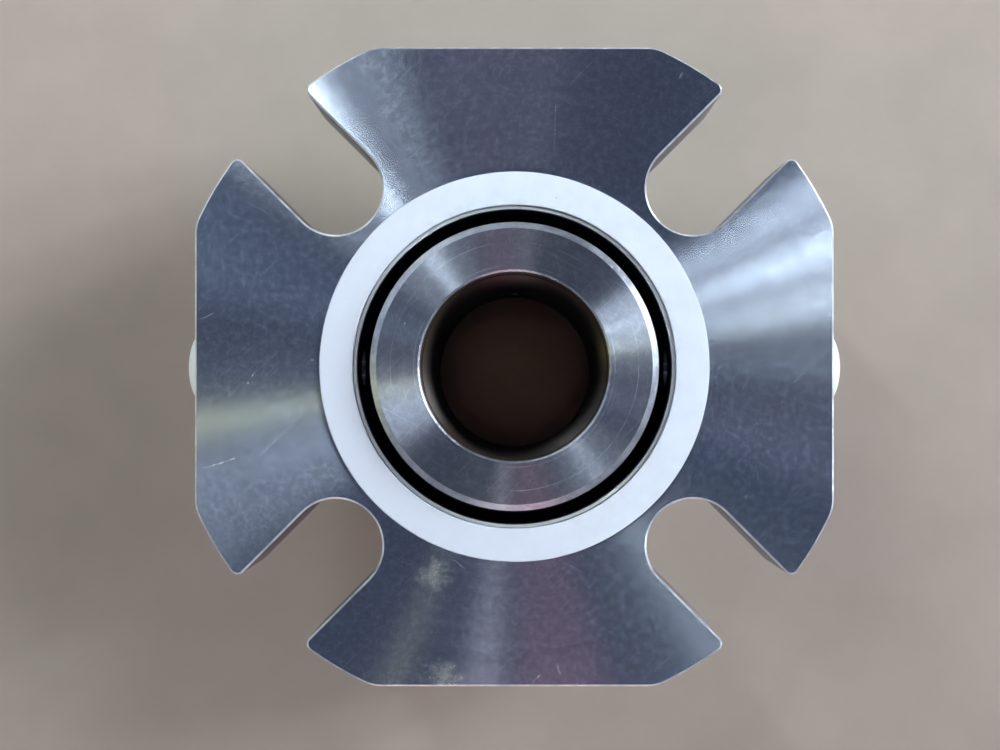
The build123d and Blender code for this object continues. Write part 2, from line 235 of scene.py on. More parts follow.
def specks(t, place, spacing, size):
    """Sparse ragged specks of different sizes: 1 on a speck, 0 beside it."""
    grain = t.node("TexNoise", {"Vector": place, "Scale": SPECK_RAGGED / size}).outputs["Color"]
    jitter = t.node("VectorMath", {0: grain, 1: (size, size, size)}, operation="MULTIPLY")
    ragged = t.node("VectorMath", {0: place, 1: jitter.outputs[0]}, operation="ADD").outputs[0]
    cell = t.node("TexVoronoi", {"Vector": ragged, "Scale": 1 / spacing})
    chance = t.remap(t.axes(cell.outputs["Color"])[0], SPECK_CHANCE, 1.0)
    grown = t.math("MULTIPLY", chance, size / spacing)
    soft = SPECK_SOFT * size / spacing
    return t.remap(t.math("SUBTRACT", grown, cell.outputs["Distance"]), 0, soft)


MARK = 0.28 * MM  # from one tool mark to the next
BAND = 1.5 * MM
SPOT_SPACING = 5 * MM
SPOT_SIZE = 0.34 * MM
HAIR_WIDTH = 0.14 * MM
# the lie, length in mm and seed of each set of scratches
HAIRS = ((0.5, 11, 0.03), (-0.8, 8, 0.11), (1.4, 5, 0.27), (2.4, 16, 0.41), (1.9, 3, 0.58))
# Each layer of noise. The first two are drawn out round the axis and have a detail and a roughness, and
# the others have their grains to the metre before these.
MARK_NOISE = (3, 0.7)
BAND_NOISE = (4, 0.6)
STAIN_NOISE = (26, 4, 0.5)
CLOUD_NOISE = (75, 6, 0.66)
WEAR_NOISE = (420, 3, 0.7)
SPARKLE_NOISE = (900, 4, 0.75)
EDGE_NOISE = (1900, 3, 0.7)
SMEAR_NOISE = (1.0, 4, 0.6)
SMEAR_GRAIN = (60, 420, 60)  # to the metre along, across and through the smears
SMEAR_TURN = 0.7
# each layer's window: the noise at which it starts to show, and at which it shows fully
BAND_WINDOW = (0.35, 0.7)
MARK_WINDOW = (0.6, 0.75)
STAIN_WINDOW = (0.42, 0.62)
CLOUD_WINDOW = (0.36, 0.64)
WEAR_WINDOW = (0.38, 0.6)
SPARKLE_WINDOW = (0.45, 0.75)
SMEAR_WINDOW = (0.4, 0.7)
# How much each layer adds to the steel's roughness. Together they take the gland's to 0.27 at most, since
# Cycles' denoiser treats rougher steel as matt, and the grain breaks up where it crosses over.
CLOUDS_ROUGHER = 0.015
MARKS_ROUGHER = 0.015
SMEARS_ROUGHER = 0.01
HAIRS_ROUGHER = 0.015
# how strongly each layer shows in the steel's colour
CLOUDS_SHOW = 0.75
BANDS_SHOW = 0.5
STAINS_SHOW = 0.75
SPARKLE_SHOWS = 0.45
MARKS_SHOW = 0.3
HAIRS_SHOW = 0.5
SPOTS_SHOW = 0.7
PALER, DEEPER = 1.6, 0.7  # of the steel's own tint, in its pale and its deep places
MARK_DEPTH = 1.6e-6
BAND_DEPTH = 4.0e-6
EDGE_DEPTH = 1.2e-4
RIDGE_DEPTH = 1.2e-5
# the pale tint of the broken edges, partly a painted highlight, and of the spots
EDGE_TINT = (0.80, 0.84, 0.88)
EDGE_SLOPES = (0.35, 0.86)  # how level a broken edge lies
EDGE_SOFT = 0.1
EDGE_LEAST = 0.4  # how strong an edge is where it is faintest
EDGE_MATT = 0.45
MATT_ROUGHNESS = 0.6  # where the steel is matt right through: its wear, its stains, and its painted shade, highlights and reflections
ACROSS_MARKS = 0.25  # of a turn, which lays the streaks of light across the tool marks


def turned_steel(name, tint, rough, brushed, shade=None, wear=1.0, keen=0.8):
    """Faced and turned steel: concentric tool marks, cloudy handling marks, scratches and broken edges.

    wear is how strong the handling marks are, and keen how pale the edges are; the pale edges are partly
    wear and partly a painted highlight. shade(t, colour, radius, height) gives the colour of the worn and
    stained places and of the painted shade and reflections, how matt they are, and the height of any
    ridges, for the piece that the finish is made for.
    """
    t = Tree(name)
    place = t.place()
    radius, angle, height = t.polar()

    def lathe(step, detail, roughness):
        """Noise drawn out round the axis, as a turning tool leaves it."""
        turned = t.join(t.math("DIVIDE", radius, step), t.math("DIVIDE", height, step), angle)
        return t.noise(turned, 1.0, detail, roughness)

    marks = lathe(MARK, *MARK_NOISE)
    bands = lathe(BAND, *BAND_NOISE)
    stains = t.noise(place, *STAIN_NOISE)
    sparkle = t.noise(place, *SPARKLE_NOISE)
    clouds = t.remap(t.noise(place, *CLOUD_NOISE), *CLOUD_WINDOW)
    wiped = t.node("Mapping", {"Vector": place, "Rotation": (0, 0, SMEAR_TURN), "Scale": SMEAR_GRAIN})
    smears = t.noise(wiped.outputs[0], *SMEAR_NOISE)
    scratches = [hairlines(t, place, lie, length * MM, HAIR_WIDTH, seed) for lie, length, seed in HAIRS]
    hairs = t.most(*scratches)
    spots = specks(t, place, SPOT_SPACING, SPOT_SIZE)
    pale_share = t.remap(t.noise(place, *WEAR_NOISE), *WEAR_WINDOW, EDGE_LEAST, 1)
    edge = t.math("MULTIPLY", t.band(t.level(), *EDGE_SLOPES, EDGE_SOFT), pale_share)

    roughness = t.remap(clouds, 0, 1, rough, rough + CLOUDS_ROUGHER * wear)
    for layer, window, rougher in (
        (marks, NOISE_SPAN, MARKS_ROUGHER),
        (smears, SMEAR_WINDOW, SMEARS_ROUGHER * wear),
        (hairs, (0, 1), HAIRS_ROUGHER * wear),
    ):
        roughness = t.math("ADD", roughness, t.remap(layer, *window, 0, rougher))

    pale = tuple(min(1, c * PALER) for c in tint)
    deep = tuple(c * DEEPER for c in tint)
    colour = tint
    for share, toward in (
        (t.math("MULTIPLY", clouds, CLOUDS_SHOW * wear), deep),
        (t.remap(bands, *BAND_WINDOW, 0, BANDS_SHOW), deep),
        (t.remap(stains, *STAIN_WINDOW, 0, STAINS_SHOW * wear), deep),
        (t.remap(sparkle, *SPARKLE_WINDOW, 0, SPARKLE_SHOWS * wear), pale),
        (t.remap(marks, *MARK_WINDOW, 0, MARKS_SHOW), pale),
        (t.math("MULTIPLY", hairs, HAIRS_SHOW), pale),
        (t.math("MULTIPLY", spots, SPOTS_SHOW), EDGE_TINT),
        # painted highlight, partly wear: the broken edges are made paler and partly matt
        (t.math("MULTIPLY", edge, keen), EDGE_TINT),
    ):
        colour = t.mix(share, colour, toward)

    normal = t.bump(marks, MARK_DEPTH)
    normal = t.bump(bands, BAND_DEPTH, normal=normal)
    ragged = t.math("MULTIPLY", t.noise(place, *EDGE_NOISE), edge)
    normal = t.bump(ragged, EDGE_DEPTH, normal=normal)
    matt = t.math("MULTIPLY", edge, EDGE_MATT * keen)
    if shade is not None:
        colour, made_matt, ridges = shade(t, colour, radius, height)
        matt = t.most(matt, made_matt)
        if ridges is not None:
            normal = t.bump(ridges, RIDGE_DEPTH, normal=normal)
    roughness = t.blend(matt, roughness, MATT_ROUGHNESS)
    tangent = t.node("Tangent", direction_type="RADIAL", axis="Z").outputs[0]
    t.set(Base_Color=colour, Metallic=t.math("SUBTRACT", 1.0, matt), Roughness=roughness, Normal=normal)
    t.set(Anisotropic=brushed, Anisotropic_Rotation=ACROSS_MARKS, Tangent=tangent)
    return t.material


PATCH_NOISE = (520, 5, 0.85)
PATCH_RAGGED = 0.7  # of the patch's reach
GOUGE_NOISE = (900, 3, 0.6)
GOUGE_LINE = (0.3, 0.6)  # of its width: full within the first, and gone at the second
GOUGE_ENDS = (0.3, 0.5)  # of its length


def reflection_patch(t, x, y, reach):
    """A ragged patch of painted reflection, which fades out at its reach from a point on the gland's face.
    """
    place = t.place()
    away = t.node("VectorMath", {0: place, 1: (x, y, 0)}, operation="DISTANCE").outputs["Value"]
    ragged = PATCH_RAGGED * reach
    wobble = t.remap(t.noise(place, *PATCH_NOISE), *NOISE_SPAN, -ragged, ragged)
    return t.remap(t.math("ADD", away, wobble), 0, reach, 1, 0)


def gouges(t, marks):
    """Single scratches on a flat face: 1 on a scratch, 0 beside it."""
    place = t.place()
    grain = t.noise(place, *GOUGE_NOISE)

    def within(distance, size, shares):
        """1 near a scratch's middle, fading to 0 between two shares of its size."""
        full, gone = (share * size * MM for share in shares)
        return t.remap(t.math("ABSOLUTE", distance), full, gone, 1, 0)

    found = []
    for x, y, length, width, lie in marks:
        setting = {"Vector": place, "Location": (x * MM, y * MM, 0), "Rotation": (0, 0, lie)}
        along, across, _ = t.axes(t.node("Mapping", setting, vector_type="TEXTURE").outputs[0])
        across = t.math("ADD", across, t.remap(grain, *NOISE_SPAN, -width * MM, width * MM))
        on_line = within(across, width, GOUGE_LINE)
        found.append(t.math("MULTIPLY", on_line, within(along, length, GOUGE_ENDS)))
    return t.most(*found)


REFLECTION_PATCHES = ((-12.0, -31.2, 2.6), (-10.5, -47.0, 3.4))  # painted reflections on the face: each one's middle and reach, in mm
# each scratch's middle, length and width in mm, and its lie in radians
GLAND_GOUGES = (
    (-44.3, -14.5, 8.0, 0.12, 0.30),
    (-46.1, 7.6, 3.2, 0.10, 0.41),
    (-39.5, -1.6, 3.4, 0.07, 1.0),
    (6.1, 36.0, 11.0, 0.05, 1.55),
    (24.9, 43.7, 1.2, 0.22, 1.3),
    (-10.0, 31.0, 1.3, 0.22, 0.2),
    (6.6, -45.4, 2.0, 0.24, 1.9),
    (3.3, -46.8, 2.2, 0.20, 0.9),
    (-8.4, -29.6, 3.0, 0.14, -0.6),
)
LIP_TINT = (0.66, 0.69, 0.64)
SIDE_SHADE_TINT = (0.10, 0.11, 0.13)
# the pale yellow of the painted reflection patches
REFLECTION_TINT = (0.80, 0.82, 0.68)
GOUGE_TINT = (0.80, 0.83, 0.87)
CHAMBER_SHADE_TINT = (0.03, 0.03, 0.035)
LIP_SHOWS, SIDE_SHADE_SHOWS, REFLECTION_SHOWS, GOUGES_SHOW = 0.8, 0.6, 0.6, 0.6
LIP_MATT, REFLECTION_MATT, GOUGES_MATT = 0.6, 0.16, 0.1
LIP_INSET = 0.12 * MM  # from the chamber's bore to the lip
LIP_SOFT = 0.05 * MM
FACE_DEPTH = 0.3 * MM  # a point less deep than this lies on the gland's face
FACE_FADE = 0.5 * MM  # and a point deeper than this doesn't
CHAMBER_FADE = 0.4 * MM  # the chamber's painted shade is full below this
PLATE_INNER_R = 30 * MM  # the plate's upright sides, painted darker as shade, lie outside this
SIDE_FADE = 2 * MM
SIDE_SLOPES = (0.05, 0.2)  # a surface less level than the first is upright, and past the second it isn't


def gland_shade(t, colour, radius, height):
    """The gland's own colours, over the steel's.

    The lip beside the gasket is paler and partly matt, the plate's upright sides are painted darker as
    shade, two patches of painted reflection lie on its face, a few scratches are worn into it, and the
    chamber's bore is painted dark as shade.
    """
    on_face = t.remap(height, -FACE_FADE, -FACE_DEPTH)
    lip_band = t.band(radius, chamber_r + LIP_INSET, gasket_bore_r, LIP_SOFT)
    lip = t.math("MULTIPLY", lip_band, on_face)
    outside = t.remap(radius, PLATE_INNER_R, PLATE_INNER_R + SIDE_FADE)
    # painted shade: the plate's upright sides are darkened
    side = t.math("MULTIPLY", t.remap(t.level(), *SIDE_SLOPES, 1, 0), outside)
    patches = (reflection_patch(t, x * MM, y * MM, reach * MM) for x, y, reach in REFLECTION_PATCHES)
    # painted reflection: two pale patches on the face
    pale_share = t.math("MULTIPLY", t.most(*patches), on_face)
    scored = t.math("MULTIPLY", gouges(t, GLAND_GOUGES), on_face)
    for mask, shows, tint in (
        (lip, LIP_SHOWS, LIP_TINT),
        (side, SIDE_SHADE_SHOWS, SIDE_SHADE_TINT),
        (pale_share, REFLECTION_SHOWS, REFLECTION_TINT),
        (scored, GOUGES_SHOW, GOUGE_TINT),
    ):
        colour = t.mix(t.math("MULTIPLY", mask, shows), colour, tint)
    # painted shade: the chamber's bore below the face is darkened to near black
    deep = t.remap(height, -CHAMBER_FADE, -FACE_DEPTH, 1, 0)
    at_bore = t.remap(radius, chamber_r + LIP_SOFT, chamber_r + LIP_INSET, 1, 0)
    inside = t.math("MULTIPLY", at_bore, deep)
    matt_shares = ((lip, LIP_MATT), (pale_share, REFLECTION_MATT), (scored, GOUGES_MATT))
    matt = t.most(*(t.math("MULTIPLY", mask, share) for mask, share in matt_shares))
    return t.mix(inside, colour, CHAMBER_SHADE_TINT), matt, None


HEAD_RIDGES = (14.85 * MM, 18.3 * MM)
RIDGE_HALF = 0.04 * MM
RIDGE_SOFT = 0.06 * MM
RIDGE_NOISE = (160, 3, 0.6)
RIDGE_WINDOW = (0.45, 0.6)  # noise under the first rubs a ridge away, and over the second it is whole
RIDGES_SHOW = 0.4
RIDGE_TINT = (0.62, 0.66, 0.72)
BORE_SHADE_TINT = (0.05, 0.036, 0.028)
BORE_MATT, HEAD_MATT = 0.7, 0.05
BORE_MOUTH = (0.35 * MM, 0.25 * MM)  # below the head's top, where the bore's painted shade starts
BORE_SKIN = (0.1 * MM, 0.2 * MM)  # out from the bore, where it ends


def sleeve_shade(t, colour, radius, height):
    """The sleeve's bore is painted a dark brown shade, and its head keeps two tool ridges."""
    # painted shade: the bore is darkened brown and made matt
    deep = t.remap(height, *(head_top - depth for depth in BORE_MOUTH), 1, 0)
    at_bore = t.remap(radius, *(shaft_r + reach for reach in BORE_SKIN), 1, 0)
    inside = t.math("MULTIPLY", at_bore, deep)
    ridges = t.most(*(t.band(radius, r - RIDGE_HALF, r + RIDGE_HALF, RIDGE_SOFT) for r in HEAD_RIDGES))
    kept = t.remap(t.noise(t.place(), *RIDGE_NOISE), *RIDGE_WINDOW)
    ridges = t.math("MULTIPLY", ridges, kept)
    colour = t.mix(t.math("MULTIPLY", ridges, RIDGES_SHOW), colour, RIDGE_TINT)
    made_matt = t.math("MAXIMUM", t.math("MULTIPLY", inside, BORE_MATT), HEAD_MATT)
    return t.mix(inside, colour, BORE_SHADE_TINT), made_matt, ridges


UNEVEN = 0.06  # how far a plain finish's roughness goes up and down
PLAIN_NOISE = (5, 0.6)
PLAIN_WINDOW = (0.35, 0.65)


def plain(name, colour, rough, metallic=0.0, grain=400, depth=4e-6, spread=0.12):
    """A simple finish with mottled colour, uneven roughness and a fine grain.

    grain sets how fine the mottles and the grain are, depth how deep the grain is, and spread how much
    darker the mottles are than the colour.
    """
    t = Tree(name)
    place = t.place()
    cloud = t.noise(place, grain / 6, *PLAIN_NOISE)
    fine = t.noise(place, grain * 4, 3)
    darker = tuple(c * (1 - spread) for c in colour)
    t.set(
        Base_Color=t.mix(t.remap(cloud, *PLAIN_WINDOW), colour, darker),
        Metallic=metallic,
        Roughness=t.remap(cloud, *NOISE_SPAN, rough - UNEVEN, rough + UNEVEN),
        Normal=t.bump(fine, depth),
    )
    return t.material


MOTTLE_NOISE = (260, 5, 0.65)
MOTTLE_WINDOW = (0.38, 0.66)
MOTTLE_SHADE = 0.93  # of the colour
MOTTLE_DEPTH = 2.0e-5
MOTTLE_ROUGHNESS = (0.5, 0.65)
FELT_NOISE = (3200, 4, 0.7)
FELT_DEPTH = 1.2e-5
FELT_STRENGTH, MOTTLE_STRENGTH = 0.6, 0.5
SMUDGE_NOISE = (130, 6, 0.7)
SMUDGE_WINDOW = (0.48, 0.68)
SMUDGE_WIDTH = 1.3 * MM  # out from the gasket's bore
SMUDGE_TINT = (0.42, 0.45, 0.46)
SMUDGES_SHOW = 0.45
DIRT_SPACING = 3.2 * MM
DIRT_SIZE = 0.22 * MM
DIRT_TINT = (0.35, 0.36, 0.38)
DIRT_SHOWS = 0.5
# Painted shade: the sheet's colour darkens towards its lower left, where less light falls on it.
PAINTED_SHADE_SHARE = (0.86, 0.85, 0.87)  # of its colour
PAINTED_SHADE_SLANT = 0.6  # how much a step down counts, beside a step to the left
PAINTED_SHADE_SPAN = (4 * MM, -34 * MM)
PAINTED_SHADE_SHOWS = 0.9


def gasket_sheet(name, colour):
    """Soft white sheet: faint mottling, a fine felt of fibres, grey smudges from handling, and painted
    shade towards its lower left.
    """
    t = Tree(name)
    place = t.place()
    mottle = t.noise(place, *MOTTLE_NOISE)
    felt = t.noise(place, *FELT_NOISE)
    shade = t.mix(t.remap(mottle, *MOTTLE_WINDOW), colour, tuple(c * MOTTLE_SHADE for c in colour))
    x, y, _ = t.axes(place)
    # painted shade: the colour darkens towards the lower left
    away = t.remap(t.math("ADD", x, t.math("MULTIPLY", y, PAINTED_SHADE_SLANT)), *PAINTED_SHADE_SPAN)
    painted_shade_colour = tuple(c * share for c, share in zip(colour, PAINTED_SHADE_SHARE))
    shade = t.mix(t.math("MULTIPLY", away, PAINTED_SHADE_SHOWS), shade, painted_shade_colour)
    inner = t.remap(t.polar()[0], gasket_bore_r + SMUDGE_WIDTH, gasket_bore_r)
    smudges = t.math("MULTIPLY", inner, t.remap(t.noise(place, *SMUDGE_NOISE), *SMUDGE_WINDOW))
    shade = t.mix(t.math("MULTIPLY", smudges, SMUDGES_SHOW), shade, SMUDGE_TINT)
    dirt = specks(t, place, DIRT_SPACING, DIRT_SIZE)
    shade = t.mix(t.math("MULTIPLY", dirt, DIRT_SHOWS), shade, DIRT_TINT)
    normal = t.bump(felt, FELT_DEPTH, FELT_STRENGTH)
    normal = t.bump(mottle, MOTTLE_DEPTH, MOTTLE_STRENGTH, normal)
    t.set(Base_Color=shade, Roughness=t.remap(mottle, *NOISE_SPAN, *MOTTLE_ROUGHNESS), Normal=normal)
    return t.material


def make_materials():
    """One finish for each material slot of the record, by the slot's name."""
    gland_finish = turned_steel("gland_steel", (0.50, 0.56, 0.67), 0.215, 1.0, gland_shade)
    sleeve_finish = turned_steel("sleeve_steel", (0.31, 0.34, 0.405), 0.285, 1.0, sleeve_shade, 0.8, 0.35)
    return {
        "gland_steel": gland_finish,
        "sleeve_steel": sleeve_finish,
        "collar_steel": turned_steel("collar_steel", (0.42, 0.47, 0.56), 0.34, 0.9),
        "clip_steel": plain("clip_steel", (0.52, 0.54, 0.56), 0.3, 1.0),
        "screw_steel": plain("screw_steel", (0.48, 0.49, 0.5), 0.3, 1.0),
        "pin_steel": plain("pin_steel", (0.55, 0.56, 0.57), 0.25, 1.0),
        "spring_steel": plain("spring_steel", (0.5, 0.5, 0.5), 0.3, 1.0),
        "gasket": gasket_sheet("gasket", (0.62, 0.69, 0.775)),
        "plug_plastic": plain("plug_plastic", (0.80, 0.85, 0.84), 0.38, grain=300, depth=2e-6, spread=0.05),
        "bush_plastic": plain("bush_plastic", (0.35, 0.25, 0.14), 0.45),
        "seal_carbon": plain("seal_carbon", (0.03, 0.03, 0.032), 0.35),
        "seal_carbide": plain("seal_carbide", (0.07, 0.07, 0.075), 0.2),
        "ring_rubber": plain("ring_rubber", (0.012, 0.012, 0.013), 0.5),
    }


# ---------------------------------------------------------------- meshes
SHARP = math.radians(38)  # a sharper turn than this between two faces shows as an edge
HOLD = 0.7  # a flat is held this share of a corner's round beyond it


def loft(name, rings, segments, origin=(0, 0, 0), direction=(0, 0, 1), closed=False):
    """A smooth solid round an axis, from rings of (radius, height) that run up its outside.

    A radius may be a function of the angle and the height. A closed loft joins its last ring
    to its first, as a ring does, and an open one is capped at both ends.
    """
    vertices, faces = [], []
    for radius, height in rings:
        for i in range(segments):
            turn = TURN * i / segments
            r = radius(turn, height) if callable(radius) else radius
            vertices.append((r * math.cos(turn), r * math.sin(turn), height))
    for ring in range(len(rings) if closed else len(rings) - 1):
        low, high = ring * segments, (ring + 1) % len(rings) * segments
        for i in range(segments):
            j = (i + 1) % segments
            faces.append((low + i, low + j, high + j, high + i))
    if not closed:
        for first, height, step in ((0, rings[0][1], -1), (len(vertices) - segments, rings[-1][1], 1)):
            centre = len(vertices)
            vertices.append((0, 0, height))
            for i in range(segments):
                faces.append((centre, first + i, first + (i + 1) % segments)[::step])
    mesh = bpy.data.meshes.new(name)
    mesh.from_pydata(vertices, [], faces)
    towards = Vector(direction).to_track_quat("Z", "Y").to_matrix().to_4x4()
    mesh.transform(Matrix.Translation(origin) @ towards)
    mesh.shade_smooth()
    mesh.set_sharp_from_angle(angle=SHARP)
    piece = bpy.data.objects.new(name, mesh)
    bpy.context.scene.collection.objects.link(piece)
    return piece


def dress(piece, node, body):
    """The piece stands for a CAD node and rides on its body, in the node's own finish."""
    piece.data.materials.append(materials[slots[node]])
    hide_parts(node)
    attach(piece, body)


def eased(outline, radius, steps=3):
    """A closed outline of (radius, height) points with rounded corners, and the flats beside them held."""
    points = []
    count = len(outline)
    for i in range(count):
        corner = Vector(outline[i])
        before = Vector(outline[i - 1]) - corner
        after = Vector(outline[(i + 1) % count]) - corner
        reach = min(radius, before.length / 3, after.length / 3)
        start, end = corner + before.normalized() * reach, corner + after.normalized() * reach
        points.append(start + before.normalized() * reach * HOLD)
        for step in range(steps + 1):
            t = step / steps
            points.append(start * (1 - t) ** 2 + corner * 2 * t * (1 - t) + end * t**2)
        points.append(end + after.normalized() * reach * HOLD)
    return [tuple(point) for point in points]


THREAD_DEPTH = 0.6  # of the pitch
THREAD_FLANK = 2.5  # how steeply a flank falls away from its crest
THREAD_CREST = 0.15  # how much of the fall the flat crest holds back


def threaded(radius, pitch):
    """The radius of a screw thread, by angle and height."""
    depth = THREAD_DEPTH * pitch

    def at(turn, height):
        along = (height / pitch - turn / TURN) % 1
        return radius - depth * min(1, max(0, THREAD_FLANK * abs(along - 0.5) - THREAD_CREST))

    return at


def thread_rings(radius, pitch, low, high, samples=8):
    """Rings for loft that run up a thread, so many to each of its turns."""
    count = max(2, round((high - low) / pitch * samples))
    form = threaded(radius, pitch)
    return [(form, low + (high - low) * i / count) for i in range(count + 1)]


# ---------------------------------------------------------------- gasket
GASKET_EASE = 0.16 * MM
GASKET_WANDER = 0.05 * MM  # how far its cut edges wander
GASKET_SEGMENTS = 360
# how often each wave of the wander comes round, and its strength
EDGE_WAVES = ((2.2, 1), (9, 0.5), (34, 0.3))
INNER_SEED, OUTER_SEED = 7.0, 3.0


def make_gasket():
    """A soft flat ring, cut from sheet, with slightly uneven edges."""
    middle = (gasket_bore_r + gasket_rim_r) / 2

    def edge(radius):
        """The radius of a cut edge, by angle. It wanders mostly into the sheet."""
        outer = radius > middle
        seed = OUTER_SEED if outer else INNER_SEED
        share = abs(radius - middle) / (gasket_rim_r - middle)

        def at(turn, height):
            place = Vector((math.cos(turn), math.sin(turn), seed))
            wander = sum(strength * noise(place * often) for often, strength in EDGE_WAVES)
            return radius - GASKET_WANDER * share * (1 + wander if outer else -1 - wander)

        return at

    outline = (
        (gasket_bore_r, gasket_low),
        (gasket_rim_r, gasket_low),
        (gasket_rim_r, gasket_high),
        (gasket_bore_r, gasket_high),
    )
    rings = [(edge(radius), height) for radius, height in eased(outline, GASKET_EASE)]
    dress(loft("gasket_ring", rings, GASKET_SEGMENTS, closed=True), "gland_gasket", "gland")


# ---------------------------------------------------------------- wave spring
SPRING_WIDTH = 2.6 * MM
SPRING_STRIP = 0.45 * MM
SPRING_WAVES = 4
SPRING_EASE = 0.1 * MM
SPRING_SEGMENTS = 240


def make_wave_spring():
    """A flat strip in a wavy ring."""
    low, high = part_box("wave_spring")
    bore_r, half = high.x - SPRING_WIDTH, SPRING_STRIP / 2
    outline = ((bore_r, -half), (high.x, -half), (high.x, half), (bore_r, half))
    piece = loft("wave_strip", eased(outline, SPRING_EASE), SPRING_SEGMENTS, closed=True)
    middle, swing = (low.z + high.z) / 2, (high.z - low.z) / 2 - half
    for vertex in piece.data.vertices:
        turn = math.atan2(vertex.co.y, vertex.co.x)
        vertex.co.z += middle + swing * math.cos(SPRING_WAVES * turn)
    dress(piece, "wave_spring", "gland")
    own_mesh(piece)


# ---------------------------------------------------------------- port plugs
PLUG_STEM_SHARE = 0.85  # of the head's radius
PLUG_CROWN_SHARE = 0.85  # of the solid's crown, since the moulded one has sunk a little
# the stem's tip and neck: radii as shares of the stem's, and heights above its tip or below its head
PLUG_TIP = ((0.8, 0), (0.92, 0.5 * MM))
PLUG_NECK = ((0.9, 0.5 * MM), (0.9, 0))
PLUG_PITCH = 1.4 * MM
PLUG_THREAD_START = 0.6 * MM  # above its tip
PLUG_THREAD_END = 0.8 * MM  # below its head
PLUG_RIM = 0.5 * MM
PLUG_CHAMFER = 0.12 * MM
# the rim's outline: how far in from the head's radius, and how high
PLUG_RIM_OUTLINE = (
    (PLUG_CHAMFER, 0),
    (0, 0.1 * MM),
    (0, PLUG_RIM - PLUG_CHAMFER),
    (0.06 * MM, PLUG_RIM),
)
PLUG_SHOULDER = 0.2 * MM  # from the rim in to the crown
# the dimple left at the moulding gate: radii and depths as shares of its own
PLUG_GATE_R = 0.9 * MM
PLUG_GATE_DEPTH = 0.12 * MM
PLUG_GATE_OUTLINE = ((1, 0), (0.85, 1), (0.3, 1), (0.2, 1 / 3))
PLUG_GATE_TOP = 0.02 * MM  # below the crown's own top
PLUG_CROWN_STEPS = 22
PLUG_SEGMENTS = 96


def make_port_plugs():
    """Moulded plugs with a thin rim, a domed head and a threaded stem, pressed in by hand."""
    for node, side in (("port_plug_left", -1), ("port_plug_right", 1)):
        low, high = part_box(node)
        head_r = (high.y - low.y) / 2
        near, far = sorted((abs(low.x), abs(high.x)))
        top = (far - gland_half) * PLUG_CROWN_SHARE
        stem = gland_half - near
        stem_r = head_r * PLUG_STEM_SHARE
        rings = [(stem_r * share, height - stem) for share, height in PLUG_TIP]
        rings += thread_rings(stem_r, PLUG_PITCH, PLUG_THREAD_START - stem, -PLUG_THREAD_END)
        rings += [(stem_r * share, -below) for share, below in PLUG_NECK]
        rings += [(head_r - inset, height) for inset, height in PLUG_RIM_OUTLINE]
        crown_r = head_r - PLUG_SHOULDER
        for step in range(1, PLUG_CROWN_STEPS):
            turn = TURN / 4 * step / PLUG_CROWN_STEPS
            rings.append((crown_r * math.cos(turn), PLUG_RIM + (top - PLUG_RIM) * math.sin(turn)))
        gate_top = top - PLUG_GATE_TOP
        for share, deep in PLUG_GATE_OUTLINE:
            rings.append((PLUG_GATE_R * share, gate_top - PLUG_GATE_DEPTH * deep))
        origin = (side * gland_half, 0, (low.z + high.z) / 2)
        name = node.replace("port_plug", "moulded_plug")
        dress(loft(name, rings, PLUG_SEGMENTS, origin, (side, 0, 0)), node, "gland")


# ---------------------------------------------------------------- screws
# radii as shares of the socket's width across its flats
SOCKET_MOUTH = 0.62
SOCKET_FOOT = 0.42
SOCKET_CENTRE = 0.05
SOCKET_CHAMFER = 0.12 * MM
SOCKET_DRILL_POINT = 0.25 * MM


def hexagon(across):
    """The radius of a hexagonal socket, by angle."""
    half = across / 2
    return lambda turn, height: half / math.cos(turn % (TURN / 6) - TURN / 12)


def socket_rings(across, top, depth):
    """A hexagonal socket with a countersunk mouth and a drilled foot, from its rim down."""
    form = hexagon(across)
    return [
        (across * SOCKET_MOUTH, top),
        (form, top - SOCKET_CHAMFER),
        (form, top - depth),
        (across * SOCKET_FOOT, top - depth),
        (across * SOCKET_CENTRE, top - depth - SOCKET_DRILL_POINT),
    ]


SEAT_HOLD = 0.02 * MM  # a ring this far under the head keeps the corner there sharp
CLIP_SCREW_PITCH = 0.5 * MM
CLIP_SCREW_SOCKET = 2.5 * MM
CLIP_SCREW_SOCKET_DEPTH = 1.5 * MM
CLIP_SCREW_HEAD = 3.0 * MM
CLIP_SCREW_R = 1.5 * MM
CLIP_SCREW_TIP_SHARE = 0.72  # of its radius
CLIP_SCREW_TIP = 0.3 * MM  # the chamfer at its end
CLIP_SCREW_NECK = 1.4 * MM  # the plain length under the head
CLIP_SCREW_RUNOUT = 0.2 * MM  # from the thread to the plain length
KNURLS = 34
KNURL_DEPTH = 0.13 * MM
KNURL_ROUND = 0.7  # under 1, the knurls are fuller than a sine's waves
KNURL_SEGMENTS = 6  # to each knurl
KNURL_LOW, KNURL_HIGH = 0.3 * MM, 2.3 * MM
# the head's outline under and over its knurls: how far in from its radius, and how far from its seat
CLIP_SCREW_FOOT = ((0.3 * MM, 0), (0.15 * MM, 0.12 * MM))
CLIP_SCREW_CROWN = ((0.16 * MM, 2.5 * MM), (0.2 * MM, 2.75 * MM), (0.45 * MM, CLIP_SCREW_HEAD))


